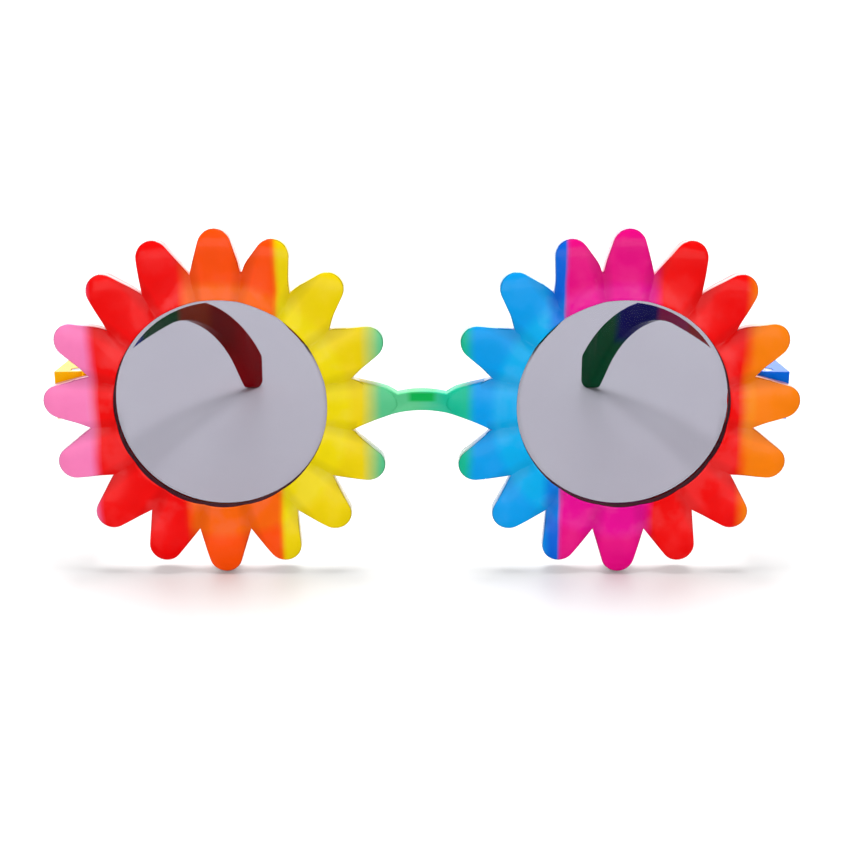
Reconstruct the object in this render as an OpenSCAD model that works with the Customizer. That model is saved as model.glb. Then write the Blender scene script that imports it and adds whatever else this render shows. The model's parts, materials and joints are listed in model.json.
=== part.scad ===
// Party glasses: two daisy rims with round lenses, a moulded bridge and folding temples.
// Millimetres. The glasses stand on the two lowest petals and the two temple tips.
// X runs across the face, -Y is the front, +Z is up. The wearer's left is +X.

/* [Flower rims] */
// Distance between the centres of the two flowers
flower_gap = 82; // [80:0.5:90]
// Radius of a flower over its petal tips
flower_r = 36; // [34.5:0.5:37]
// Number of petals round each flower
petal_count = 16; // [12:4:20]
// Radius of the circle through the notches between the petals
notch_r = 27.4; // [26.5:0.1:28.5]
// Radius of a petal's rounded tip
petal_end_r = 3.4; // [2.8:0.1:3.8]
// Thickness of the front at the crown of a petal
front_t = 5; // [4.5:0.1:6]
// Radius of a petal's crown from side to side
crown_r = 16; // [13:0.5:24]
// Radius of a petal's crown from lens to tip
bow_r = 80; // [60:5:140]
// Distance from the flower's centre to the highest point of a petal
crown_at = 29; // [27:0.5:31]

/* [Lenses] */
// Radius of the round opening in each rim
opening_r = 21.7; // [20.5:0.1:22.3]
// Chamfer on the front edge of the opening
opening_chamfer = 0.5; // [0.3:0.1:0.8]
// Thickness of a lens
lens_t = 1.5; // [1.2:0.1:1.8]
// Depth of the groove that holds the lens
groove_depth = 0.8; // [0.6:0.1:1.2]
// Thickness of the rim's lip behind the lens
back_lip = 0.9; // [0.7:0.1:1.2]
// Gap between the lens and its groove, all round
lens_gap = 0.06; // [0.03:0.01:0.1]
// Width of the bevel that shows inside the rim on the front of the lens
lens_bevel = 0.7; // [0.4:0.1:1]
// Height of that bevel at the lens's edge
bevel_drop = 0.5; // [0.3:0.1:0.7]

/* [Bridge and nose pads] */
// Height of the bridge's upper edge above the flowers' centres
bridge_top = 3.4; // [2.6:0.1:4]
// Radius of the bridge's upper edge
bridge_top_r = 25; // [18:1:40]
// Radius of the arch under the bridge
bridge_arch_r = 15; // [12:0.5:20]
// Thickness of the bridge at its crown
bridge_t = 4.2; // [3.6:0.1:4.6]
// Radius of the bridge's crown from top to bottom
bridge_crown_r = 6; // [5:0.5:10]
// Distance from the middle to a nose pad's upper end
pad_top_x = 8.2; // [7.5:0.1:9]
// Depth of that end below the flowers' centres
pad_top_drop = 8.5; // [7.5:0.5:10]
// Distance from the middle to a nose pad's lower end
pad_foot_x = 15.6; // [14:0.2:17]
// Depth of that end below the flowers' centres
pad_foot_drop = 19; // [17:0.5:21]
// Thickness of a nose pad
pad_t = 2; // [1.6:0.1:2.4]
// Reach of a nose pad behind the front
pad_reach = 8; // [6:0.5:10]
// Radius of a nose pad's two rear corners
pad_corner_r = 4.5; // [3:0.5:5.5]
// Angle by which a nose pad spreads towards the face
pad_splay = 14; // [5:1:22]

/* [Hinges] */
// Distance from the outermost petal tip in to the hinge axis
hinge_inset = 5.6; // [5:0.1:6.4]
// Height of the middle of the hinge above the flowers' centres
hinge_v = 1; // [0:0.2:1.4]
// Distance from the back of the front to the hinge axis
hinge_back = 2.6; // [2.4:0.1:3]
// Radius of the lug's barrel
lug_r = 2.2; // [1.9:0.1:2.4]
// Distance from the hinge axis to the inner side of the lug's web
lug_in = 2; // [1.8:0.1:2.2]
// Distance from the hinge axis to the outer side of the web
lug_out = 1.2; // [1:0.1:1.4]
// Height of the lug
lug_h = 3.6; // [3:0.1:4.4]
// Gap above and below the lug
lug_gap = 0.12; // [0.08:0.01:0.2]
// Gap beside the lug's web in the temple's slot
slot_side_gap = 0.25; // [0.2:0.05:0.4]
// Room round the lug's barrel, in which the corners of the slot turn past the web
slot_room = 1; // [0.9:0.1:1.2]
// Gap between the back of the front and the temple's end
front_gap = 0.3; // [0.25:0.05:0.4]
// Radius of the screw's shank
screw_r = 0.7; // [0.5:0.05:0.8]
// Gap between the shank and its bores
bore_gap = 0.05; // [0.03:0.01:0.08]
// Radius of the screw's head
screw_head_r = 1.25; // [1.1:0.05:1.4]
// Height of the screw's head
screw_head_h = 0.7; // [0.5:0.1:0.9]
// Width of the slot in the head
screw_slot_w = 0.35; // [0.25:0.05:0.5]
// Gap round the head and above it
head_gap = 0.1; // [0.05:0.01:0.15]
// Distance by which the shank stops short of the temple's underside
shank_short = 1; // [0.6:0.1:2]

/* [Temples] */
// Distance from the hinge axis out to the temple's outer face
temple_outer = 4.2; // [3.8:0.1:4.6]
// Height of the temple at the hinge
temple_h = 10; // [9:0.5:12]
// Thickness of the temple's arm
arm_t = 2.8; // [2.4:0.1:3.4]
// Height of the arm where the bend starts
arm_h = 5; // [4.5:0.1:7]
// Length of the thick hinge end behind the front
block_len = 8; // [7:0.5:12]
// Length over which the inner face slopes to the arm's thickness
block_taper = 8; // [5:0.5:12]
// Angle by which the arm climbs from the hinge to the bend
arm_rise = 2; // [0:0.5:5]
// Length from the front to the start of the bend
arm_len = 77; // [70:1:84]
// Radius of the bend over the ear
ear_r = 38.5; // [32:0.5:44]
// Angle of the hook below the plane square to the front
hook_angle = 63; // [55:1:66]
// Height of the hook, square to its length
hook_h = 7; // [6:0.1:8]
// Distance from the end of the bend's upper side back to the hook's upright end
hook_past = 0.281; // [0.1:0.001:1]
// Radius of the foot at the lower end of the hook
tip_r = 2; // [1.5:0.1:2.5]
// Radius of the corner at the upper end of the hook
hook_corner_r = 1.5; // [1:0.1:3]
// Length from the front to where the arm starts to curve inwards
bow_from = 27; // [20:1:40]
// Radius of the arm's outer face where it curves inwards
arm_bow_r = 168; // [150:1:200]

/* [Hidden] */
front_color = [0.93, 0.30, 0.12];
temple_color = [0.16, 0.62, 0.55];
// A cut or an added piece runs this far past the face that it meets
past = 1;
// The flanks and the arch of the bridge run this deep inside the tangent to a round tip
tip_bite = 0.03;
// Straight stretches in the bend over the ear and in each corner of the hook's end
bend_steps = 24;

flower_x = flower_gap / 2;
tip_c = flower_r - petal_end_r;
notch_x = notch_r * cos(180 / petal_count);
notch_y = notch_r * sin(180 / petal_count);
flank_r = petal_end_r - tip_bite;
petal_taper = atan2(notch_y, tip_c - notch_x) - asin(flank_r / norm([tip_c - notch_x, notch_y]));
petal_root = opening_r - 2 * past;

hinge_x = flower_x + flower_r - hinge_inset;
ear_end_r = hinge_back - front_gap;
bore_r = screw_r + bore_gap;
slot_h = lug_h + 2 * lug_gap;
slot_r = lug_r + slot_room;

rise_end = [arm_len * cos(arm_rise), hinge_v + arm_len * sin(arm_rise)];
bend_c = rise_end + ear_r * [sin(arm_rise), -cos(arm_rise)];
bend_end = bend_c + ear_r * [sin(hook_angle), cos(hook_angle)];
hook_dir = [cos(hook_angle), -sin(hook_angle)];
hook_up = [sin(hook_angle), cos(hook_angle)];
temple_reach = (bend_end + hook_h / 2 * hook_up)[0] + hook_past;
tip = hook_end_centre(bend_end - (hook_h / 2 - tip_r) * hook_up, tip_r);
hook_corner = hook_end_centre(bend_end + (hook_h / 2 - hook_corner_r) * hook_up, hook_corner_r);

// The lean at which the lowest petals and both temple tips touch the ground
stand_up = flower_r + tip[1];
lean = acos(tip_r / norm([stand_up, tip[0]])) - atan2(tip[0], stand_up);
flower_z = flower_r * cos(lean);
foremost = min(crown_at + bow_r * sin(lean), flower_r);
foremost_t = front_t - bow_r + sqrt(bow_r * bow_r - (foremost - crown_at) * (foremost - crown_at));
front_y = -foremost * sin(lean) - foremost_t * cos(lean);
back_y = hook_corner[1] * sin(lean) + hook_corner[0] * cos(lean) + hook_corner_r;
flower_y = -(front_y + back_y) / 2;

// Where a corner of that radius, run along the hook from a point, meets the upright end
function hook_end_centre(from, r) = from + (temple_reach - r - from[0]) / hook_dir[0] * hook_dir;

// Stands what is drawn flat on its back, as the front came out of its mould
module stand() translate([0, flower_y, flower_z]) rotate([90 - lean, 0, 0]) children();

// The same thing on the wearer's left and, mirrored, on the wearer's right
module both_sides() {
  children();
  mirror([1, 0, 0]) children();
}

// A petal points along +X from its flower's centre
module petal_outline() {
  translate([tip_c, 0]) circle(r = petal_end_r, $fn = 96);
  flank_end = [tip_c + flank_r * sin(petal_taper), flank_r * cos(petal_taper)];
  root_y = flank_end[1] + (flank_end[0] - petal_root) * tan(petal_taper);
  polygon([[petal_root, -root_y], [flank_end[0], -flank_end[1]], flank_end, [petal_root, root_y]]);
}

// A barrel along the petal gives its top the crown from side to side and from lens to tip
module petal_crown() {
  half_len = flower_r - petal_root;
  translate([crown_at, 0, front_t - crown_r]) rotate([0, 90, 0])
    rotate_extrude($fn = 180) intersection() {
      translate([crown_r - bow_r, 0]) circle(r = bow_r, $fn = 720);
      translate([0, -half_len]) square([crown_r, 2 * half_len]);
    }
}

module petal() intersection() {
  linear_extrude(height = front_t) petal_outline();
  petal_crown();
}

module flower() for (i = [0 : petal_count - 1]) rotate([0, 0, i * 360 / petal_count]) petal();

// The bar runs from petal tip to petal tip, and its arch flows into both tips
module bridge() {
  end_x = flower_x - tip_c;
  arch_y = -sqrt((bridge_arch_r + flank_r) * (bridge_arch_r + flank_r) - end_x * end_x);
  foot_y = arch_y * flank_r / (bridge_arch_r + flank_r);
  intersection() {
    linear_extrude(height = front_t) difference() {
      intersection() {
        translate([-end_x, foot_y]) square([2 * end_x, bridge_top - foot_y]);
        translate([0, bridge_top - bridge_top_r]) circle(r = bridge_top_r, $fn = 360);
      }
      translate([0, arch_y]) circle(r = bridge_arch_r, $fn = 360);
    }
    mid_y = (bridge_top + arch_y + bridge_arch_r) / 2;
    translate([-end_x, mid_y, bridge_t - bridge_crown_r]) rotate([0, 90, 0])
      cylinder(r = bridge_crown_r, h = 2 * end_x, $fn = 180);
  }
}

// A thin blade behind the rim, with its two rear corners rounded
module nose_pad() {
  run = [pad_foot_x - pad_top_x, pad_top_drop - pad_foot_drop];
  pad_len = norm(run);
  translate([pad_top_x, -pad_top_drop, 0]) rotate([0, 0, atan2(run[1], run[0])])
    rotate([pad_splay - 90, 0, 0]) translate([0, 0, -pad_t / 2]) linear_extrude(height = pad_t) {
      translate([0, -past]) square([pad_len, pad_reach - pad_corner_r + past]);
      translate([pad_corner_r, 0]) square([pad_len - 2 * pad_corner_r, pad_reach]);
      for (x = [pad_corner_r, pad_len - pad_corner_r])
        translate([x, pad_reach - pad_corner_r]) circle(r = pad_corner_r, $fn = 96);
    }
}

// What follows is drawn about a point on the left hinge axis: the middle of the hinge
module at_hinge() translate([hinge_x, hinge_v, -hinge_back]) children();

module along_axis(r, h) rotate([90, 0, 0]) cylinder(r = r, h = h, center = true, $fn = 96);

module hinge_lug() at_hinge() difference() {
  union() {
    along_axis(lug_r, lug_h);
    translate([-lug_in, -lug_h / 2, 0]) cube([lug_in + lug_out, lug_h, hinge_back + past / 2]);
  }
  along_axis(bore_r, lug_h + 2 * past);
}

module front_frame() color(front_color) stand() difference() {
  union() {
    both_sides() {
      translate([flower_x, 0, 0]) flower();
      nose_pad();
      hinge_lug();
    }
    bridge();
  }
  chamfer_h = 2 * opening_chamfer;
  both_sides() translate([flower_x, 0, 0]) {
    translate([0, 0, -past]) cylinder(r = opening_r, h = front_t + 2 * past, $fn = 360);
    translate([0, 0, front_t - chamfer_h])
      cylinder(r1 = opening_r, r2 = opening_r + chamfer_h, h = chamfer_h, $fn = 360);
    translate([0, 0, back_lip])
      cylinder(r = opening_r + groove_depth, h = lens_t + 2 * lens_gap, $fn = 360);
  }
}

module lens() {
  lens_r = opening_r + groove_depth - lens_gap;
  color([0.55, 0.55, 0.58, 0.6]) stand() translate([flower_x, 0, back_lip + lens_gap])
    rotate_extrude($fn = 360)
      polygon([[0, 0], [lens_r, 0], [lens_r, lens_t - bevel_drop], [opening_r - lens_bevel, lens_t], [0, lens_t]]);
}

module left_lens() lens();

module right_lens() mirror([1, 0, 0]) lens();

// Seen from above, hinge axis at the origin, front towards +Y: a thick end, then the bowed arm
module temple_plan(h) {
  arm_in = temple_outer - arm_t;
  block_y = hinge_back - block_len;
  bow_y = hinge_back - bow_from;
  cylinder(r = ear_end_r, h = h, center = true, $fn = 96);
  linear_extrude(height = h, center = true) polygon([
    [0, ear_end_r], [temple_outer, ear_end_r], [temple_outer, bow_y], [arm_in, bow_y],
    [arm_in, block_y - block_taper], [-ear_end_r, block_y], [-ear_end_r, 0]
  ]);
  translate([temple_outer - arm_bow_r, bow_y]) linear_extrude(height = h, center = true) difference() {
    intersection() {
      circle(r = arm_bow_r, $fn = 720);
      translate([0, -arm_bow_r]) square([arm_bow_r, arm_bow_r]);
    }
    circle(r = arm_bow_r - arm_t, $fn = 720);
  }
}

// The arm's middle and half its height along the bend
function bend_at(angle) = bend_c + ear_r * [sin(angle), cos(angle)];
function half_at(share) = (arm_h + share * (hook_h - arm_h)) / 2;

// Seen from the side, X is the distance behind the front and Y the height
module temple_side() {
  top = hinge_v + temple_h / 2;
  bend_angle = arm_rise + hook_angle;
  steps = [0 : 1 / bend_steps : 1];
  over = [for (t = steps) let (angle = t * bend_angle - arm_rise)
    bend_at(angle) + half_at(t) * [sin(angle), cos(angle)]];
  corner = [for (t = steps) let (angle = hook_angle + t * (90 - hook_angle))
    hook_corner + hook_corner_r * [sin(angle), cos(angle)]];
  foot = [for (t = steps) let (angle = 90 + t * (90 + hook_angle)) tip + tip_r * [sin(angle), cos(angle)]];
  under = [for (t = steps) let (angle = hook_angle - t * bend_angle)
    bend_at(angle) - half_at(1 - t) * [sin(angle), cos(angle)]];
  polygon(concat([[0, top - temple_h], [0, top], [block_len, top]], over, corner, foot, under,
    [[block_len, top - temple_h]]));
}

module temple() {
  head_pocket = screw_head_h + head_gap;
  color(temple_color) stand() difference() {
    intersection() {
      translate([hinge_x, 0, -hinge_back]) rotate([90, 0, 0]) temple_plan(4 * arm_len);
      rotate([0, 90, 0]) linear_extrude(height = 2 * hinge_x) temple_side();
    }
    at_hinge() {
      along_axis(slot_r, slot_h);
      translate([-slot_r, -slot_h / 2, 0])
        cube([slot_r + lug_out + slot_side_gap, slot_h, hinge_back + past]);
      along_axis(bore_r, temple_h + 2 * past);
      translate([0, temple_h / 2 - head_pocket / 2 + past / 2, 0])
        along_axis(screw_head_r + head_gap, head_pocket + past);
    }
  }
}

module left_temple() temple();

module right_temple() mirror([1, 0, 0]) temple();

module hinge_screw() {
  shank_h = temple_h - screw_head_h - head_gap - shank_short;
  color("silver") stand() at_hinge() {
    top = temple_h / 2 - head_gap;
    difference() {
      translate([0, top - screw_head_h / 2, 0]) along_axis(screw_head_r, screw_head_h);
      translate([-screw_head_r - past, top - screw_head_h / 2, -screw_slot_w / 2])
        cube([2 * (screw_head_r + past), screw_head_h, screw_slot_w]);
    }
    translate([0, top - screw_head_h - shank_h / 2, 0]) along_axis(screw_r, shank_h);
  }
}

module left_hinge_screw() hinge_screw();

module right_hinge_screw() mirror([1, 0, 0]) hinge_screw();

front_frame();
left_lens();
right_lens();
left_temple();
right_temple();
left_hinge_screw();
right_hinge_screw();
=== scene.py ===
# Party glasses with two daisy rims, standing open on a white table. The front is one lacquered
# moulding, two grey lenses are snapped into it, and two banded temples fold on steel screws.
import json
import math
import bmesh
import bpy
from mathutils import Matrix, Vector


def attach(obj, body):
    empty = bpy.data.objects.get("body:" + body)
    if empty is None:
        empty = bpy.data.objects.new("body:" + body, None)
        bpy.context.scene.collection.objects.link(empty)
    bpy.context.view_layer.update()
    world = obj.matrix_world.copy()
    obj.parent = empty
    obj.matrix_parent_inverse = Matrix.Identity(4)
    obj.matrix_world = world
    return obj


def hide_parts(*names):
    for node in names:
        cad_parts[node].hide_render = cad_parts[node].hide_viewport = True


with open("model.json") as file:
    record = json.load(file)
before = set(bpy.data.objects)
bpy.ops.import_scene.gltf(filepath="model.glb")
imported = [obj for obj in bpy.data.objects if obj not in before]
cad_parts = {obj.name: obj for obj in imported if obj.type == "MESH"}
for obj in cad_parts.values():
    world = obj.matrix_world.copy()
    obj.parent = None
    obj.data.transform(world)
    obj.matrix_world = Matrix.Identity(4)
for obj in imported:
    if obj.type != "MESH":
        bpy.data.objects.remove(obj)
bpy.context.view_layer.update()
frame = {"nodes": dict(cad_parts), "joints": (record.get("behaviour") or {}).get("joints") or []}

# ---------------------------------------------------------------------------------------------
# The daisies: sixteen pods each round a lens opening, injection moulded in one piece with the bridge,
# the nose pads and the hinge lugs, then sprayed in soft rainbow bands and glossed.
# One pod is laid out and copied round, then the walls and the back are drawn and the edges rounded.

mm = 0.001
flower_x = 41 * mm
pod_count = 16
opening_r = 21.7 * mm
notch_r = 27.4 * mm
pod_r = 36 * mm
tip_r = 3.4 * mm
flank_angle = math.radians(17.55)
side_crown_r = 16 * mm
edge_r = 0.3 * mm
lens_front = 2.46 * mm
groove_back = 0.9 * mm
groove_r = 22.5 * mm
wall_draft = 0.9 * mm
wall_turn = 1.8 * mm
# Height of a pod's middle line above the back, at distances from the daisy's centre
pod_profile = [(21.7, 4.78), (24, 4.52), (27, 4.5), (30, 4.82), (32, 4.98), (34, 4.86), (36, 4.3)]
# The circles that part the opening's rim, its wall and the outer rim from the rest, and the height
# that parts the front's edges from those behind
opening_rim, opening_wall, outer_rim = 22 * mm, 23 * mm, 25 * mm
front_floor = 3 * mm

# The left hinge, 71.4 mm out, 1 mm up and 2.6 mm behind the front's back, tells how the front stands
hinge_back = 2.6 * mm
hinge = Vector((71.4 * mm, 1 * mm, -hinge_back))
left_fold = frame["joints"][0]
lean = math.asin(left_fold["axis"][1])
upright = Matrix.Rotation(math.pi / 2 - lean, 4, "X")
standing = Matrix.Translation(Vector(left_fold["pos_m"]) - upright @ hinge) @ upright


def start_piece(name, add, **sizes):
    """Adds a primitive with nothing else selected, names it and opens it in edit mode"""
    bpy.ops.object.select_all(action="DESELECT")
    add(**sizes)
    piece = bpy.context.object
    piece.name = piece.data.name = name
    bpy.ops.object.mode_set(mode="EDIT")
    return piece


def pick(piece, kind, test):
    """In edit mode, selects the vertices, edges or faces that pass a test"""
    bpy.ops.mesh.select_mode(type=kind)
    bpy.ops.mesh.select_all(action="DESELECT")
    shape = bmesh.from_edit_mesh(piece.data)
    for item in {"VERT": shape.verts, "EDGE": shape.edges, "FACE": shape.faces}[kind]:
        if test(item):
            item.select_set(True)
    shape.select_flush_mode()
    bmesh.update_edit_mesh(piece.data)


def finish_shape(piece, smooth_to, place=None):
    """Closes edit mode, smooths all but the sharper edges and puts a piece drawn flat where it stands"""
    bpy.ops.mesh.select_all(action="SELECT")
    bpy.ops.mesh.normals_make_consistent(inside=False)
    bpy.ops.object.mode_set(mode="OBJECT")
    bpy.ops.object.shade_smooth_by_angle(angle=math.radians(smooth_to))
    piece.matrix_world = standing @ (place or Matrix()) @ piece.matrix_world
    bpy.ops.object.transform_apply(location=True, rotation=True, scale=True)


def mirrored(piece, name):
    """The same piece, its own mesh, on the wearer's other side"""
    bpy.ops.object.select_all(action="DESELECT")
    piece.select_set(True)
    bpy.context.view_layer.objects.active = piece
    bpy.ops.object.duplicate()
    other = bpy.context.object
    other.name = other.data.name = name
    bpy.ops.transform.mirror(orient_type="GLOBAL", constraint_axis=(True, False, False),
                             center_override=(0, 0, 0))
    bpy.ops.object.transform_apply(location=True, rotation=True, scale=True)
    bpy.ops.object.mode_set(mode="EDIT")
    bpy.ops.mesh.select_all(action="SELECT")
    bpy.ops.mesh.normals_make_consistent(inside=False)
    bpy.ops.object.mode_set(mode="OBJECT")
    return other


def middle_line(r):
    """Height of a pod's middle line: a smooth curve through the profile's points"""
    points = [(a * mm, b * mm) for a, b in pod_profile]
    r = min(max(r, points[0][0]), points[-1][0])
    k = max(i for i in range(len(points) - 1) if points[i][0] <= r)

    def slope(i):
        a, b = points[max(i - 1, 0)], points[min(i + 1, len(points) - 1)]
        return (b[1] - a[1]) / (b[0] - a[0])
    (x0, y0), (x1, y1) = points[k], points[k + 1]
    h = x1 - x0
    t = (r - x0) / h
    return ((2 * t ** 3 - 3 * t ** 2 + 1) * y0 + (t ** 3 - 2 * t ** 2 + t) * h * slope(k)
            + (3 * t ** 2 - 2 * t ** 3) * y1 + (t ** 3 - t ** 2) * h * slope(k + 1))


def outline_point(share):
    """A point on a pod's outline from one notch (-1) along the flank, round the tip (0) to the other (1)"""
    half = math.pi / pod_count
    turn = math.pi / 2 - flank_angle
    notch = notch_r * Vector((math.cos(half), math.sin(half)))
    flank_end = Vector((pod_r - tip_r, 0)) + tip_r * Vector((math.cos(turn), math.sin(turn)))
    flank = (flank_end - notch).length
    arc = tip_r * turn
    at = abs(share) * (flank + arc)
    if at <= arc:
        angle = at / tip_r
        point = Vector((pod_r - tip_r, 0)) + tip_r * Vector((math.cos(angle), math.sin(angle)))
    else:
        point = flank_end.lerp(notch, (at - arc) / flank)
    return Vector((point.x, math.copysign(point.y, share)))


def side_drop(y):
    """How much lower a crowned face lies at a distance from its middle line"""
    return side_crown_r - math.sqrt(side_crown_r ** 2 - y ** 2)


def pod_point(along, across):
    """A point on a pod's face, along it from lens to outline (0 to 1) and across it (-1 to 1)"""
    angle = across * math.pi / pod_count
    inner = opening_r * Vector((math.cos(angle), math.sin(angle)))
    flat = inner.lerp(outline_point(across), along)
    return Vector((flat.x, flat.y, middle_line(flat.length) - side_drop(flat.y)))


def smooth_share(value, start, end):
    """How far a value is from a start (0) to an end (1), easing at both"""
    t = min(max((value - start) / (end - start), 0), 1)
    return t * t * (3 - 2 * t)


left_daisy = start_piece("left_daisy", bpy.ops.mesh.primitive_grid_add, x_subdivisions=20,
                         y_subdivisions=32, size=2)
shape = bmesh.from_edit_mesh(left_daisy.data)
for v in shape.verts:
    v.co = pod_point((v.co.x + 1) / 2, v.co.y)
bmesh.update_edit_mesh(left_daisy.data)
bpy.ops.mesh.select_all(action="SELECT")
bpy.ops.mesh.spin(steps=pod_count - 1, dupli=True, angle=2 * math.pi * (pod_count - 1) / pod_count,
                  center=(0, 0, 0), axis=(0, 0, 1))
bpy.ops.mesh.select_all(action="SELECT")
bpy.ops.mesh.remove_doubles(threshold=0.02 * mm)

# The pod next to the bridge is drawn up on its underside, where the arch flows into it, and stays a
# hair inside the arch. The arch's underside is a parabola, which drops arch_bend times x squared
bridge_end = 14 * mm
joint_y = 6 * mm
joint_hair = 0.06 * mm
arch_rise = 1.07 * mm
arch_bend = 22
shape = bmesh.from_edit_mesh(left_daisy.data)
for v in shape.verts:
    out = v.co.x + flower_x
    lowest = -arch_rise - arch_bend * out ** 2 + joint_hair
    flank = -tip_r / math.cos(flank_angle) - (out - flower_x + pod_r - tip_r) * math.tan(flank_angle)
    if out < bridge_end and -joint_y < v.co.y < 0 and lowest > flank:
        v.co.y *= lowest / min(flank, -tip_r)

# The mould isn't divided evenly: counted from the outermost pod, these lean round by so many mm. Each
# swings as one from the notches out, and the valley between two takes up what differs
pod_leans = {0: 0.9, 1: 1.15, 2: 0.65, 3: 0.2, 5: -1.3, 6: -1.35, 7: -0.65, 14: 0.25, 15: 0.55}
lean_r = 33 * mm
lean_start, lean_full = 23.5 * mm, 30 * mm
valley_start, valley_end = 0.35, 0.65
for v in shape.verts:
    count = math.atan2(v.co.y, v.co.x) / (2 * math.pi) * pod_count % pod_count
    before = int(count)
    start, end = (pod_leans.get(k % pod_count, 0) for k in (before, before + 1))
    swing = start + (end - start) * smooth_share(count - before, valley_start, valley_end)
    turn = swing * mm / lean_r * smooth_share(v.co.xy.length, lean_start, lean_full)
    v.co.xy = Matrix.Rotation(turn, 2) @ v.co.xy
bmesh.update_edit_mesh(left_daisy.data)

# The outer walls run straight back and then draw in to the back, where the mould halves met
pick(left_daisy, "EDGE", lambda e: e.is_boundary and min(v.co.xy.length for v in e.verts) > outer_rim)
bpy.ops.mesh.extrude_edges_move()
bpy.ops.transform.resize(value=(1, 1, 0), center_override=(0, 0, wall_turn))
bpy.ops.mesh.extrude_edges_move()
bpy.ops.transform.resize(value=(1, 1, 0), center_override=(0, 0, 0))
bpy.ops.transform.shrink_fatten(value=-wall_draft, use_even_offset=True)

# The opening's wall goes back to the lens, round its groove and on to the back
pick(left_daisy, "EDGE", lambda e: e.is_boundary and max(v.co.xy.length for v in e.verts) < opening_rim)
bpy.ops.mesh.extrude_edges_move()
bpy.ops.transform.resize(value=(1, 1, 0), center_override=(0, 0, 0))
bpy.ops.transform.translate(value=(0, 0, lens_front))
grow = groove_r / opening_r
bpy.ops.mesh.extrude_edges_move()
bpy.ops.transform.resize(value=(grow, grow, 1), center_override=(0, 0, 0))
bpy.ops.mesh.extrude_edges_move(TRANSFORM_OT_translate={"value": (0, 0, groove_back - lens_front)})
bpy.ops.mesh.extrude_edges_move()
bpy.ops.transform.resize(value=(1 / grow, 1 / grow, 1), center_override=(0, 0, 0))
bpy.ops.mesh.extrude_edges_move(TRANSFORM_OT_translate={"value": (0, 0, -groove_back)})

pick(left_daisy, "EDGE", lambda e: e.is_boundary)
bpy.ops.mesh.fill(use_beauty=True)
bpy.ops.mesh.select_all(action="SELECT")
bpy.ops.mesh.normals_make_consistent(inside=False)

# The front edges of the pods and of the opening are rounded
pick(left_daisy, "EDGE", lambda e: len(e.link_faces) == 2 and e.calc_face_angle() > math.radians(45)
     and min(v.co.z for v in e.verts) > front_floor)
bpy.ops.mesh.bevel(offset=edge_r, segments=4, affect="EDGES", clamp_overlap=False)

# The walls are paler than the front, thin overspray and painted sheen, the opening's wall is painted near
# black as painted shade, and the rounded edges are painted darker as painted shade, but not where the bridge
# joins. A face is told by how far its normal turns to the front
joint_x = 10 * mm
wall_slope, edge_slope = 0.5, 0.88
shape = bmesh.from_edit_mesh(left_daisy.data)
for face in shape.faces:
    middle = face.calc_center_median()
    if abs(face.normal.z) < wall_slope and middle.xy.length < opening_wall:
        face.material_index = 2
    elif middle.x + flower_x < joint_x and abs(middle.y) < joint_y:
        face.material_index = 0
    elif abs(face.normal.z) < wall_slope:
        face.material_index = 1
    elif face.normal.z < edge_slope and middle.z > front_floor and middle.xy.length > opening_wall:
        face.material_index = 3
bmesh.update_edit_mesh(left_daisy.data)
finish_shape(left_daisy, 32, Matrix.Translation((flower_x, 0, 0)))
right_daisy = mirrored(left_daisy, "right_daisy")


def srgb(code):
    """An sRGB hex colour as the linear colour that a shader takes"""
    parts = [int(code[i:i + 2], 16) / 255 for i in (0, 2, 4)]
    return [p / 12.92 if p <= 0.04045 else ((p + 0.055) / 1.055) ** 2.4 for p in parts] + [1.0]


def add_node(tree, kind, inputs=(), **settings):
    """Adds a shader node with its settings, and fills or wires its inputs"""
    node = tree.nodes.new("ShaderNode" + kind)
    for name, value in settings.items():
        setattr(node, name, value)
    for socket, value in dict(inputs).items():
        if isinstance(value, bpy.types.NodeSocket):
            tree.links.new(value, node.inputs[socket])
        else:
            node.inputs[socket].default_value = value
    return node


def new_material(name):
    """An empty node material and its tree"""
    material = bpy.data.materials.new(name)
    material.use_nodes = True
    material.node_tree.nodes.clear()
    return material, material.node_tree


# Sprayed acrylic lacquer under a gloss coat: full colours that run into one another over a millimetre
# or two, with soft lights. A band's edge drifts by a few tenths over some centimetres, and the spray
# lies in patches. The orange peel of a real coat is finer, and is drawn as coarse as it needs to show
drift, drift_size = 0.7 * mm, 16.67 * mm
patch_size = 6.67 * mm
peel_size = 1.11 * mm
# Where the painted sheen round each lens fades out, and how far below the daisy's centre that ring is centred
sheen_ring_start, sheen_ring_end, sheen_ring_drop = 25.5 * mm, 27.5 * mm, 1.5 * mm
white = (1, 1, 1, 1)
flower_z = (standing @ Vector((flower_x, 0, 4.5 * mm))).z


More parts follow.
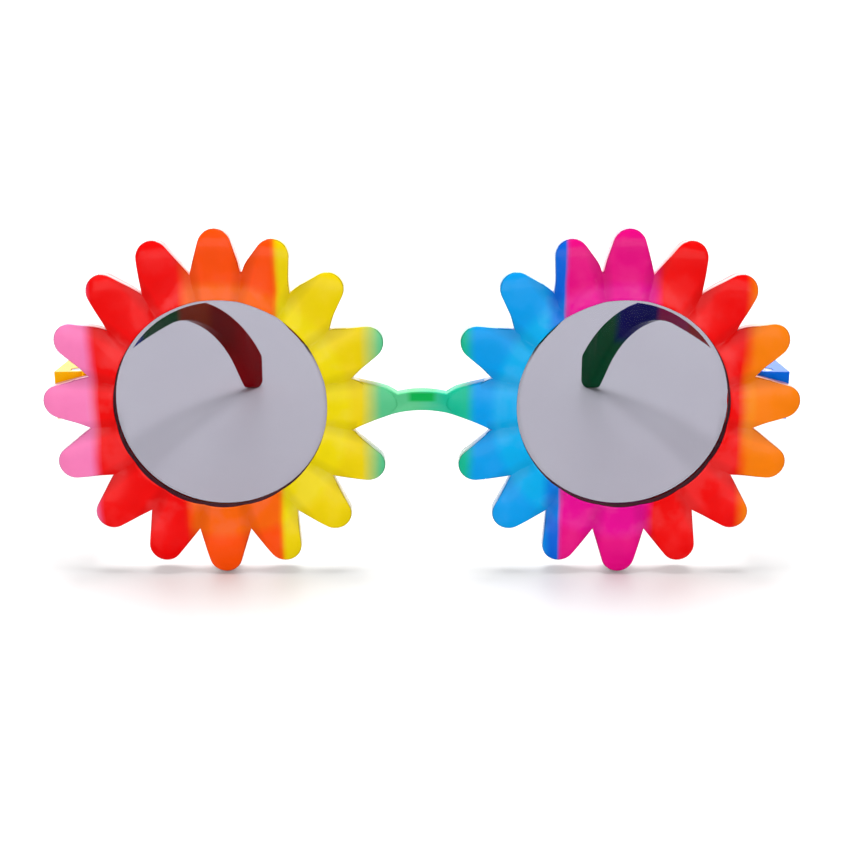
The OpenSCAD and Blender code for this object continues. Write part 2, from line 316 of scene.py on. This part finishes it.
def banded_lacquer(name, axis, ends, bands, pale_share=0, depth=1, gloss=0.07, valley_shade=0, shade_patch=None):
    """Lacquer in bands along an axis, each (where it begins in mm, colour, softness in mm). It is mixed with
    white by a share (thin overspray, and painted sheen on the walls), darker where depth is under 1 (painted
    shade on the rounded edges), if asked has painted shade between the pods and painted sheen round the lens,
    and has a patch of painted shade round a point (place, reach, colour)"""
    material, tree = new_material(name)
    place = add_node(tree, "TexCoord").outputs["Object"]
    split = add_node(tree, "SeparateXYZ", {"Vector": place})
    wander = add_node(tree, "TexNoise", {"Vector": place, "Scale": 1 / drift_size, "Detail": 2})
    shift = add_node(tree, "MapRange", {"Value": wander.outputs["Fac"], "To Min": -drift, "To Max": drift})
    along = add_node(tree, "Math", {0: split.outputs[axis], 1: shift.outputs["Result"]}, operation="ADD")
    share = add_node(tree, "MapRange", {"Value": along.outputs["Value"],
                                        "From Min": ends[0] * mm, "From Max": ends[1] * mm})
    ramp = add_node(tree, "ValToRGB", {"Fac": share.outputs["Result"]})
    stops = ramp.color_ramp.elements
    span = ends[1] - ends[0]
    places = [(0, bands[0][1])]
    for before, band in zip(bands, bands[1:]):
        middle = (band[0] - ends[0]) / span
        soft = band[2] / 2 / span
        places += [(middle - soft, before[1]), (middle + soft, band[1])]
    while len(stops) < len(places):
        stops.new(1)
    for stop, (position, colour) in zip(stops, places):
        stop.position = position
        stop.color = srgb(colour)
    # The plastic shows through the thinner patches
    patches = add_node(tree, "TexNoise", {"Vector": place, "Scale": 1 / patch_size, "Detail": 3})
    patches = patches.outputs["Fac"]
    fuller = add_node(tree, "MapRange", {"Value": patches, "From Min": 0.35, "From Max": 0.65,
                                         "To Min": 0.96 * depth, "To Max": 1.03 * depth})
    paint = add_node(tree, "HueSaturation", {"Value": fuller.outputs["Result"],
                                             "Color": ramp.outputs["Color"]})
    bare = add_node(tree, "MapRange", {"Value": patches, "From Min": 0.5, "From Max": 0.62,
                                       "To Min": pale_share, "To Max": pale_share + 0.008})
    paint = add_node(tree, "Mix", {"Factor": bare.outputs["Result"], 6: paint.outputs["Color"], 7: white},
                     data_type="RGBA").outputs[2]
    if valley_shade:
        # Painted shade between the pods: darker where two pods meet, darkest in line with the notches
        x = add_node(tree, "Math", {0: split.outputs["X"]}, operation="ABSOLUTE").outputs["Value"]
        x = add_node(tree, "Math", {0: x, 1: flower_x}, operation="SUBTRACT").outputs["Value"]
        z = add_node(tree, "Math", {0: split.outputs["Z"], 1: flower_z}, operation="SUBTRACT")
        z = z.outputs["Value"]
        turn = add_node(tree, "Math", {0: z, 1: x}, operation="ARCTAN2").outputs["Value"]
        turn = add_node(tree, "Math", {0: turn, 1: pod_count}, operation="MULTIPLY").outputs["Value"]
        wave = add_node(tree, "Math", {0: turn}, operation="COSINE").outputs["Value"]
        share = add_node(tree, "MapRange", {"Value": wave, "From Min": -0.2, "From Max": -1,
                                            "To Max": valley_shade})
        deeper = add_node(tree, "Math", {0: 1, 1: share.outputs["Result"]}, operation="SUBTRACT")
        paint = add_node(tree, "HueSaturation", {"Value": deeper.outputs["Value"], "Color": paint})
        # Painted sheen round the lens: the colour is lighter there, reaching a little further out below than
        # above
        z = add_node(tree, "Math", {0: z, 1: sheen_ring_drop}, operation="ADD").outputs["Value"]
        flat = add_node(tree, "CombineXYZ", {"X": x, "Z": z}).outputs["Vector"]
        reach = add_node(tree, "VectorMath", {0: flat}, operation="LENGTH").outputs["Value"]
        ring = add_node(tree, "MapRange", {"Value": reach, "From Min": sheen_ring_start, "From Max": sheen_ring_end,
                                           "To Min": 0.78, "To Max": 1}).outputs["Result"]
        paint = add_node(tree, "Gamma", {"Color": paint.outputs["Color"], "Gamma": ring}).outputs["Color"]
    # A patch round a point painted in another colour: painted shade
    if shade_patch:
        away = add_node(tree, "Mapping", {"Vector": place, "Location": shade_patch[0], "Scale": shade_patch[1]},
                        vector_type="TEXTURE")
        away = add_node(tree, "SeparateXYZ", {"Vector": away.outputs["Vector"]})
        share = 1
        for side in ("X", "Z"):
            out = add_node(tree, "Math", {0: away.outputs[side]}, operation="ABSOLUTE").outputs["Value"]
            inside = add_node(tree, "MapRange", {"Value": out, "From Min": 1.3, "From Max": 0.8})
            share = add_node(tree, "Math", {0: inside.outputs["Result"], 1: share}, operation="MULTIPLY")
            share = share.outputs["Value"]
        paint = add_node(tree, "Mix", {"Factor": share, 6: paint, 7: srgb(shade_patch[2])},
                         data_type="RGBA").outputs[2]
    # The orange peel in the gloss coat lies over slow waves from the mould
    peel = add_node(tree, "TexNoise", {"Vector": place, "Scale": 1 / peel_size, "Detail": 3}).outputs["Fac"]
    bump = add_node(tree, "Bump", {"Height": peel, "Strength": 0.06, "Distance": 0.05 * mm})
    bump = add_node(tree, "Bump", {"Height": patches, "Strength": 0.3, "Distance": 0.12 * mm,
                                   "Normal": bump.outputs["Normal"]})
    shader = add_node(tree, "BsdfPrincipled", {"Base Color": paint, "Roughness": 0.1, "IOR": 1.5,
                                               "Specular IOR Level": gloss, "Normal": bump.outputs["Normal"]})
    add_node(tree, "OutputMaterial", {"Surface": shader.outputs["BSDF"]})
    return material


def finish_piece(piece, materials, body):
    """Gives a piece its materials and the body it rides on"""
    for material in materials:
        piece.data.materials.append(material)
    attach(piece, body)


# From the wearer's right to the left, pink to orange: the bands run on from one daisy into the other
rainbow = [(-80, "FF82BE", 0), (-67, "F50000", 2), (-47.8, "FF4E00", 2), (-29, "F2D400", 1),
           (-10.5, "5AC88C", 4), (2, "14BE96", 6), (9.9, "00A0F0", 2), (25.5, "0064DC", 2),
           (28.5, "EB0082", 0.7), (46.9, "F50000", 2), (65.9, "FF8200", 2.5)]
front_ends = (-80, 80)
front_lacquer = banded_lacquer("sprayed gloss lacquer on moulded front", "X", front_ends, rainbow,
                               valley_shade=0.2)
# On the walls the colour is mixed with white: thin overspray, and painted sheen for the light the walls catch
wall_sheen_lacquer = banded_lacquer("thin overspray with painted sheen on moulded walls", "X", front_ends, rainbow,
                              pale_share=0.3, gloss=0.3)
# On the rounded front edges the colour is darker: painted shade
edge_shade_lacquer = banded_lacquer("lacquer with painted shade on rounded edges", "X", front_ends, rainbow, depth=0.6)

# The opening's wall is painted near black and dull: painted shade for the shadowed gap behind the rim,
# mixed at random with dark red in spots of 2 mm
shaded_opening_wall, tree = new_material("painted shade on lens opening wall")
place = add_node(tree, "TexCoord").outputs["Object"]
stain = add_node(tree, "TexNoise", {"Vector": place, "Scale": 1 / (2 * mm), "Detail": 2}).outputs["Fac"]
shade = add_node(tree, "Mix", {"Factor": stain, 6: srgb("0C0614"), 7: srgb("5A0A16")}, data_type="RGBA")
shader = add_node(tree, "BsdfPrincipled", {"Base Color": shade.outputs[2], "Roughness": 0.5,
                                           "Specular IOR Level": 0.05})
add_node(tree, "OutputMaterial", {"Surface": shader.outputs["BSDF"]})

for piece in (left_daisy, right_daisy):
    finish_piece(piece, (front_lacquer, wall_sheen_lacquer, shaded_opening_wall, edge_shade_lacquer), "front")
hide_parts("front_frame")
frame["nodes"]["front_frame"].data.materials.clear()
frame["nodes"]["front_frame"].data.materials.append(front_lacquer)

# ---------------------------------------------------------------------------------------------
# The bridge: a slim bar moulded with the daisies, dished along its front and flowing into both pods.
# A grid is drawn between its upper and lower edges, given walls and a back, and its edges are rounded.

notch_x = 5 * mm
bridge_top = 2.95 * mm
bridge_top_r = 21 * mm
bridge_front = 3.85 * mm
bridge_back = 1.2 * mm
bridge_edge_r = 0.45 * mm
dish = 0.4 * mm
# It turns from a bar into the pod's face between these, and then sinks below that face by its end
pod_start, pod_full = 3 * mm, 9 * mm
sink_start, sink_low, sink_depth = 10.5 * mm, 0.03 * mm, 0.08 * mm
# Height of the bridge's upper edge over the pod, at distances from the middle
pod_edge = [(5, 2.35), (6, 3.0), (7, 3.55), (8.1, 3.9), (10, 4.4), (11.6, 4.75), (14, 5.3)]


def bridge_upper(x):
    """Height of the bridge's upper edge: an arc in the middle, and beyond the notch the pod's flank"""
    if x <= notch_x:
        return bridge_top - bridge_top_r + math.sqrt(bridge_top_r ** 2 - x ** 2)
    for (x0, y0), (x1, y1) in zip(pod_edge, pod_edge[1:]):
        if x <= x1 * mm + 1e-9:
            return (y0 + (y1 - y0) * (x / mm - x0) / (x1 - x0)) * mm


bridge = start_piece("bridge", bpy.ops.mesh.primitive_grid_add, x_subdivisions=84, y_subdivisions=20, size=2)
shape = bmesh.from_edit_mesh(bridge.data)
for v in shape.verts:
    x = v.co.x * bridge_end
    out = abs(x)
    low, high = -arch_rise - arch_bend * out ** 2, bridge_upper(out)
    y = low + (v.co.y + 1) / 2 * (high - low)
    bar = bridge_front + dish * v.co.y ** 2
    pod = middle_line(math.hypot(flower_x - out, y)) - side_drop(y)
    blend = smooth_share(out, pod_start, pod_full)
    sink = sink_low - sink_depth * smooth_share(out, sink_start, bridge_end)
    v.co = (x, y, (1 - blend) * bar + blend * pod + sink)
bmesh.update_edit_mesh(bridge.data)
pick(bridge, "EDGE", lambda e: e.is_boundary)
bpy.ops.mesh.extrude_edges_move()
bpy.ops.transform.resize(value=(1, 1, 0), center_override=(0, 0, bridge_back))
pick(bridge, "EDGE", lambda e: e.is_boundary)
bpy.ops.mesh.fill(use_beauty=True)
bpy.ops.mesh.select_all(action="SELECT")
bpy.ops.mesh.normals_make_consistent(inside=False)
pick(bridge, "EDGE", lambda e: e.calc_face_angle() > math.radians(40)
     and min(v.co.z for v in e.verts) > 2 * mm and abs(e.verts[0].co.x) < bridge_end - 0.1 * mm)
bpy.ops.mesh.bevel(offset=bridge_edge_r, segments=4, affect="EDGES", clamp_overlap=False)
finish_shape(bridge, 35)

# A lozenge of full green, 5 mm wide and 1.8 mm high, is painted into the dish: painted shade for the dark
# that the dished face mirrors
dish_middle = standing @ Vector((0, 1.75 * mm, bridge_front))
bridge_lacquer = banded_lacquer("sprayed gloss lacquer with painted shade in bridge", "X", front_ends, rainbow,
                                shade_patch=(dish_middle, (2.5 * mm, 3 * mm, 0.9 * mm), "00B450"))
finish_piece(bridge, (bridge_lacquer,), "front")

# ---------------------------------------------------------------------------------------------
# The nose pads: two thin moulded blades behind the inner pods, spread towards the wearer's face.
# A box has its two rear corners rounded to a large radius and all its edges to a small one.

pad_top = Vector((8.2, -8.5, 0)) * mm
pad_foot = Vector((15.6, -19, 0)) * mm
pad_t = 2 * mm
pad_reach = 8 * mm
pad_root = 1 * mm
pad_corner_r = 4.5 * mm
pad_edge_r = 0.6 * mm
pad_splay = math.radians(14)
pad_run = pad_foot - pad_top
left_pad = start_piece("left_nose_pad", bpy.ops.mesh.primitive_cube_add, size=1)
bpy.ops.transform.resize(value=(pad_run.length, pad_reach + pad_root, pad_t))
bpy.ops.transform.translate(value=(pad_run.length / 2, (pad_reach - pad_root) / 2, 0))
pick(left_pad, "EDGE", lambda e: min(v.co.y for v in e.verts) > 0 and (e.verts[0].co - e.verts[1].co).z != 0)
bpy.ops.mesh.bevel(offset=pad_corner_r, segments=14, affect="EDGES")
pick(left_pad, "EDGE", lambda e: e.calc_face_angle() > math.radians(40))
bpy.ops.mesh.bevel(offset=pad_edge_r, segments=4, affect="EDGES")
pad_turn = (Matrix.Rotation(math.atan2(pad_run.y, pad_run.x), 4, "Z")
            @ Matrix.Rotation(pad_splay - math.pi / 2, 4, "X"))
finish_shape(left_pad, 35, Matrix.Translation(pad_top) @ pad_turn)
right_pad = mirrored(left_pad, "right_nose_pad")

# The pads were outside the spray and stay clear, like the plastic under the paint. So close to the
# white table they all but vanish, but for faint lights on flow marks about 8 mm long
clear_plastic, tree = new_material("clear moulded polycarbonate")
place = add_node(tree, "TexCoord").outputs["Object"]
flow = add_node(tree, "TexNoise", {"Vector": place, "Scale": 1 / (8.33 * mm), "Detail": 1}).outputs["Fac"]
bump = add_node(tree, "Bump", {"Height": flow, "Strength": 0.2, "Distance": 0.1 * mm}).outputs["Normal"]
shader = add_node(tree, "BsdfPrincipled", {"Base Color": srgb("FCFCFC"), "Transmission Weight": 1,
                                           "Roughness": 0.04, "IOR": 1.05, "Alpha": 0.45, "Normal": bump})
add_node(tree, "OutputMaterial", {"Surface": shader.outputs["BSDF"]})
for piece in (left_pad, right_pad):
    finish_piece(piece, (clear_plastic,), "front")

# ---------------------------------------------------------------------------------------------
# The hinge lugs: a bored barrel on a short web behind each outermost pod, moulded with the front and
# given the walls' pale lacquer, thin overspray and painted sheen. A barrel and a web are joined, the screw's
# bore is cut out of them and their edges are broken.

lug_r = 2.2 * mm
lug_h = 3.6 * mm
lug_in = 2 * mm
lug_out = 1.2 * mm
lug_edge_r = 0.12 * mm
web_reach = hinge_back + 0.5 * mm
bore_r = 0.75 * mm


def cut_or_join(piece, tool, operation):
    """Applies a Boolean of a tool to a piece and takes the tool away"""
    change = piece.modifiers.new("change", "BOOLEAN")
    change.operation = operation
    change.solver = "EXACT"
    change.object = tool
    bpy.ops.object.select_all(action="DESELECT")
    piece.select_set(True)
    bpy.context.view_layer.objects.active = piece
    bpy.ops.object.modifier_apply(modifier=change.name)
    bpy.data.objects.remove(tool)


def barrel(name, radius, height):
    """A cylinder along the hinge axis, centred on the hinge"""
    piece = start_piece(name, bpy.ops.mesh.primitive_cylinder_add, vertices=64, radius=radius, depth=height,
                        rotation=(math.pi / 2, 0, 0))
    bpy.ops.object.mode_set(mode="OBJECT")
    return piece


left_lug = barrel("left_hinge_lug", lug_r, lug_h)
web = start_piece("web", bpy.ops.mesh.primitive_cube_add, size=1)
bpy.ops.transform.resize(value=(lug_in + lug_out, lug_h, web_reach))
bpy.ops.transform.translate(value=((lug_out - lug_in) / 2, 0, web_reach / 2))
bpy.ops.object.mode_set(mode="OBJECT")
cut_or_join(left_lug, web, "UNION")
cut_or_join(left_lug, barrel("bore", bore_r, 2 * lug_h), "DIFFERENCE")
bpy.ops.object.mode_set(mode="EDIT")
pick(left_lug, "EDGE", lambda e: len(e.link_faces) == 2 and e.calc_face_angle() > math.radians(60))
bpy.ops.mesh.bevel(offset=lug_edge_r, segments=2, affect="EDGES")
finish_shape(left_lug, 35, Matrix.Translation(hinge))
right_lug = mirrored(left_lug, "right_hinge_lug")
for piece in (left_lug, right_lug):
    finish_piece(piece, (wall_sheen_lacquer,), "front")

# ---------------------------------------------------------------------------------------------
# The lenses: discs cut from grey acrylic sheet, bevelled on the front edge and snapped into the grooves.
# A disc is drawn up to the sheet's thickness and its front edge is drawn in to the bevel.

lens_r = 22.44 * mm
lens_t = 1.5 * mm
lens_back = 0.96 * mm
bevel_drop = 0.5 * mm
bevel_r = 21 * mm
left_disc = start_piece("left_lens_disc", bpy.ops.mesh.primitive_circle_add, vertices=192, radius=lens_r,
                        fill_type="NGON")
bpy.ops.mesh.extrude_region_move(TRANSFORM_OT_translate={"value": (0, 0, lens_t - bevel_drop)})
bpy.ops.mesh.extrude_region_move(TRANSFORM_OT_translate={"value": (0, 0, bevel_drop)})
bpy.ops.transform.resize(value=(bevel_r / lens_r, bevel_r / lens_r, 1), center_override=(0, 0, 0))
finish_shape(left_disc, 15, Matrix.Translation((flower_x, 0, lens_back)))
right_disc = mirrored(left_disc, "right_lens_disc")

# The sheets were cut by hand: each clears the rim by a hair on its outer side, the left one raggedly.
# The cut fades over about 20 degrees either way, and the saw left two sets of waves
cut_spread = 0.32
for disc, side, depth, wave in ((left_disc, 1, 0.85, 0.09), (right_disc, -1, 0.45, 0.01)):
    for v in disc.data.vertices:
        flat = standing.inverted() @ v.co
        angle = math.atan2(flat.y, side * flat.x - flower_x)
        share = math.exp(-(angle / cut_spread) ** 2)
        saw = wave * math.sin(31 * angle) + wave / 2 * math.sin(67 * angle)
        v.co.x -= side * share * (depth + saw) * mm

# The dye dims the view to a violet grey, a little unevenly in clouds of 14 mm, and the cast surface has
# faint waves. What shines back from it is next to nothing, as seen straight on
lens_material, tree = new_material("dyed grey acrylic sheet lens")
place = add_node(tree, "TexCoord").outputs["Object"]
cloud = add_node(tree, "TexNoise", {"Vector": place, "Scale": 1 / (14.3 * mm), "Detail": 2}).outputs["Fac"]
dye = add_node(tree, "Mix", {"Factor": cloud, 6: srgb("9997A3"), 7: srgb("9F9EA9")}, data_type="RGBA")
bump = add_node(tree, "Bump", {"Height": cloud, "Strength": 0.1, "Distance": 0.02 * mm}).outputs["Normal"]
shader = add_node(tree, "BsdfPrincipled", {"Base Color": dye.outputs[2], "Transmission Weight": 1,
                                           "Roughness": 0, "IOR": 1.49,
                                           "Specular Tint": (0.04, 0.04, 0.04, 1), "Normal": bump})
add_node(tree, "OutputMaterial", {"Surface": shader.outputs["BSDF"]})
for piece, node in ((left_disc, "left_lens"), (right_disc, "right_lens")):
    finish_piece(piece, (lens_material,), "front")
    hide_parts(node)
    frame["nodes"][node].data.materials.clear()
    frame["nodes"][node].data.materials.append(lens_material)

# ---------------------------------------------------------------------------------------------
# The temples: moulded arms with a thick forked end, bowed towards the head and bent down over the ear,
# sprayed in bands along their length, with a duller gloss than the front.
# Each keeps its CAD shape, with the long edges rounded.

arm_edge_r = 0.5 * mm
fork_end = left_fold["pos_m"][1] + 4 * mm


def rounded_arm(node, name):
    """A merged copy of a temple's CAD node, its long edges rounded from the fork's end to the foot"""
    bpy.ops.object.select_all(action="DESELECT")
    source = frame["nodes"][node]
    piece = bpy.data.objects.new(name, source.data.copy())
    piece.data.name = name
    bpy.context.scene.collection.objects.link(piece)
    piece.matrix_world = source.matrix_world
    piece.select_set(True)
    bpy.context.view_layer.objects.active = piece
    bpy.ops.object.transform_apply(location=True, rotation=True, scale=True)
    bpy.ops.object.mode_set(mode="EDIT")
    bpy.ops.mesh.select_all(action="SELECT")
    bpy.ops.mesh.remove_doubles(threshold=0.001 * mm)
    bpy.ops.mesh.dissolve_limited(angle_limit=math.radians(0.4))
    pick(piece, "EDGE", lambda e: len(e.link_faces) == 2 and e.calc_face_angle() > math.radians(50)
         and min(v.co.y for v in e.verts) > fork_end)
    bpy.ops.mesh.bevel(offset=arm_edge_r, segments=4, affect="EDGES")
    bpy.ops.mesh.select_all(action="SELECT")
    bpy.ops.mesh.normals_make_consistent(inside=False)
    bpy.ops.object.mode_set(mode="OBJECT")
    bpy.ops.object.shade_smooth_by_angle(angle=math.radians(30))
    return piece


left_arm = rounded_arm("left_temple", "left_temple_arm")
right_arm = rounded_arm("right_temple", "right_temple_arm")
arm_ends = (-60, 66)
# The bands are drawn deeper than the front's: painted shade for the shadow that the arms' inner faces lie in
left_lacquer = banded_lacquer("sprayed gloss lacquer on left temple", "Y", arm_ends, [
    (-60, "0064DC", 0), (-40, "00A050", 3), (-26, "D2B400", 3), (-12, "FA5A00", 3), (1, "E6000F", 3),
    (14, "DC006E", 3), (30, "00008C", 3), (48, "00733C", 3), (62, "8C460A", 3)], gloss=0.04)
right_lacquer = banded_lacquer("sprayed gloss lacquer on right temple", "Y", arm_ends, [
    (-60, "E6AF00", 0), (-40, "E6000F", 3), (-24, "DC007D", 3), (-9, "003CC8", 3), (6, "006E32", 3),
    (27, "C83C00", 3), (41, "AA0000", 4), (52, "D2000C", 6)], gloss=0.04)
for piece, node, lacquer, body in ((left_arm, "left_temple", left_lacquer, "left_arm"),
                                   (right_arm, "right_temple", right_lacquer, "right_arm")):
    piece.data.materials.clear()
    finish_piece(piece, (lacquer,), body)
    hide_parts(node)
    frame["nodes"][node].data.materials.clear()
    frame["nodes"][node].data.materials.append(lacquer)

# ---------------------------------------------------------------------------------------------
# The hinge screws: turned from steel wire, with a slotted head let into the top of each temple.
# They are the CAD nodes themselves, which hold the head, its slot and the shank.

# Bright metal whose glints are broken up by the lathe's marks. The real ones are finer, and are drawn a
# quarter of a millimetre wide to show
steel, tree = new_material("turned steel screw")
place = add_node(tree, "TexCoord").outputs["Object"]
grain = add_node(tree, "TexNoise", {"Vector": place, "Scale": 1 / (0.25 * mm), "Detail": 2}).outputs["Fac"]
roughness = add_node(tree, "MapRange", {"Value": grain, "To Min": 0.22, "To Max": 0.4}).outputs["Result"]
shader = add_node(tree, "BsdfPrincipled", {"Base Color": srgb("B8B8BC"), "Metallic": 1,
                                           "Roughness": roughness})
add_node(tree, "OutputMaterial", {"Surface": shader.outputs["BSDF"]})
for name in ("left_hinge_screw", "right_hinge_screw"):
    node = frame["nodes"][name]
    node.data.materials.clear()
    node.data.materials.append(steel)

# ---------------------------------------------------------------------------------------------
# The table: a sheet of white satin paper. The camera sees it full white but for the shadows, also in a
# gloss and through the lenses, while to the light that falls on the glasses it is a plain grey.

table_size = 8
seen_white, lit_grey = 0.77, 0.25
fade_start, fade_end, least_glow = 0.25, 0.6, 0.06


def seen_share(tree):
    """1 for the rays that the camera sees by, straight, mirrored or through a lens, and 0 for other light"""
    rays = add_node(tree, "LightPath")
    seen = 0
    for kind in ("Is Camera Ray", "Is Glossy Ray", "Is Transmission Ray"):
        seen = add_node(tree, "Math", {0: rays.outputs[kind], 1: seen}, operation="MAXIMUM")
        seen = seen.outputs["Value"]
    return seen


bpy.ops.object.select_all(action="DESELECT")
bpy.ops.mesh.primitive_plane_add(size=table_size)
table = bpy.context.object
table.name = "table"
# Paper with a satin finish mirrors the pods' tips only faintly
table_material, tree = new_material("white satin paper table")
seen = seen_share(tree)
sheet = add_node(tree, "Mix", {"Factor": seen, 6: (lit_grey, lit_grey, lit_grey, 1),
                               7: (seen_white, seen_white, seen_white, 1)}, data_type="RGBA")
paper = add_node(tree, "BsdfPrincipled", {"Base Color": sheet.outputs[2], "Roughness": 0.45, "IOR": 1.38})
# Away from the glasses the sheet fades to the white of the room
place = add_node(tree, "TexCoord").outputs["Object"]
away = add_node(tree, "VectorMath", {0: place}, operation="LENGTH").outputs["Value"]
fade = add_node(tree, "MapRange", {"Value": away, "From Min": fade_start, "From Max": fade_end,
                                   "To Min": least_glow, "To Max": 1})
level = add_node(tree, "Math", {0: seen, 1: fade.outputs["Result"]}, operation="MULTIPLY").outputs["Value"]
glow = add_node(tree, "Emission", {"Color": white, "Strength": level})
both = add_node(tree, "AddShader", {0: paper.outputs["BSDF"], 1: glow.outputs["Emission"]})
add_node(tree, "OutputMaterial", {"Surface": both.outputs["Shader"]})
table.data.materials.append(table_material)

# ---------------------------------------------------------------------------------------------
# The room: white wherever the camera sees it, dim to all other light, with a softbox overhead, a lit
# backdrop behind the glasses and a wide softbox in front of them.

room_light = 0.3
world = bpy.data.worlds.new("room")
bpy.context.scene.world = world
world.use_nodes = True
tree = world.node_tree
tree.nodes.clear()
level = add_node(tree, "MapRange", {"Value": seen_share(tree), "To Min": room_light, "To Max": 1.0})
sky = add_node(tree, "Background", {"Color": white, "Strength": level.outputs["Result"]})
add_node(tree, "OutputWorld", {"Surface": sky.outputs["Background"]})


def softbox(name, place, aim, size, watts):
    """A rectangular soft light at a place, turned towards a point"""
    light = bpy.data.lights.new(name, "AREA")
    light.shape = "RECTANGLE"
    light.size, light.size_y = size
    light.energy = watts
    lamp = bpy.data.objects.new(name, light)
    bpy.context.scene.collection.objects.link(lamp)
    lamp.location = place
    lamp.rotation_euler = (Vector(aim) - Vector(place)).to_track_quat("-Z", "Y").to_euler()


softbox("overhead softbox", (0, 0.15, 1.05), (0, 0, 0), (0.45, 0.45), 12)
softbox("lit backdrop", (0, 1.6, 0.75), (0, 0, 0.03), (3, 1.2), 20)
softbox("front softbox", (0, -1.6, 0.35), (0, -0.05, 0.03), (2.4, 0.6), 19)

# ---------------------------------------------------------------------------------------------
# The camera: at the photo's height and distance, 20 degrees above the table, looking at the middle of
# the front's face. The photo is 845 pixels wide, and its focal length 1329 of them.

photo_width, focal_length = 845, 1329
face_height = 4.6 * mm
camera_distance = 270 * mm
camera = bpy.data.cameras.new("camera")
camera.sensor_width = 36
camera.sensor_fit = "HORIZONTAL"
camera.lens = focal_length * camera.sensor_width / photo_width
camera.shift_x = 0.0007
camera.shift_y = -0.0195
view = bpy.data.objects.new("camera", camera)
bpy.context.scene.collection.objects.link(view)
pitch = math.radians(14.7) + lean
target = standing @ Vector((0, 0, face_height))
view.location = target + camera_distance * Vector((0, -math.cos(pitch), math.sin(pitch)))
view.rotation_euler = (math.pi / 2 - pitch, 0, 0)
bpy.context.scene.camera = view

bpy.context.scene.view_settings.view_transform = "Standard"
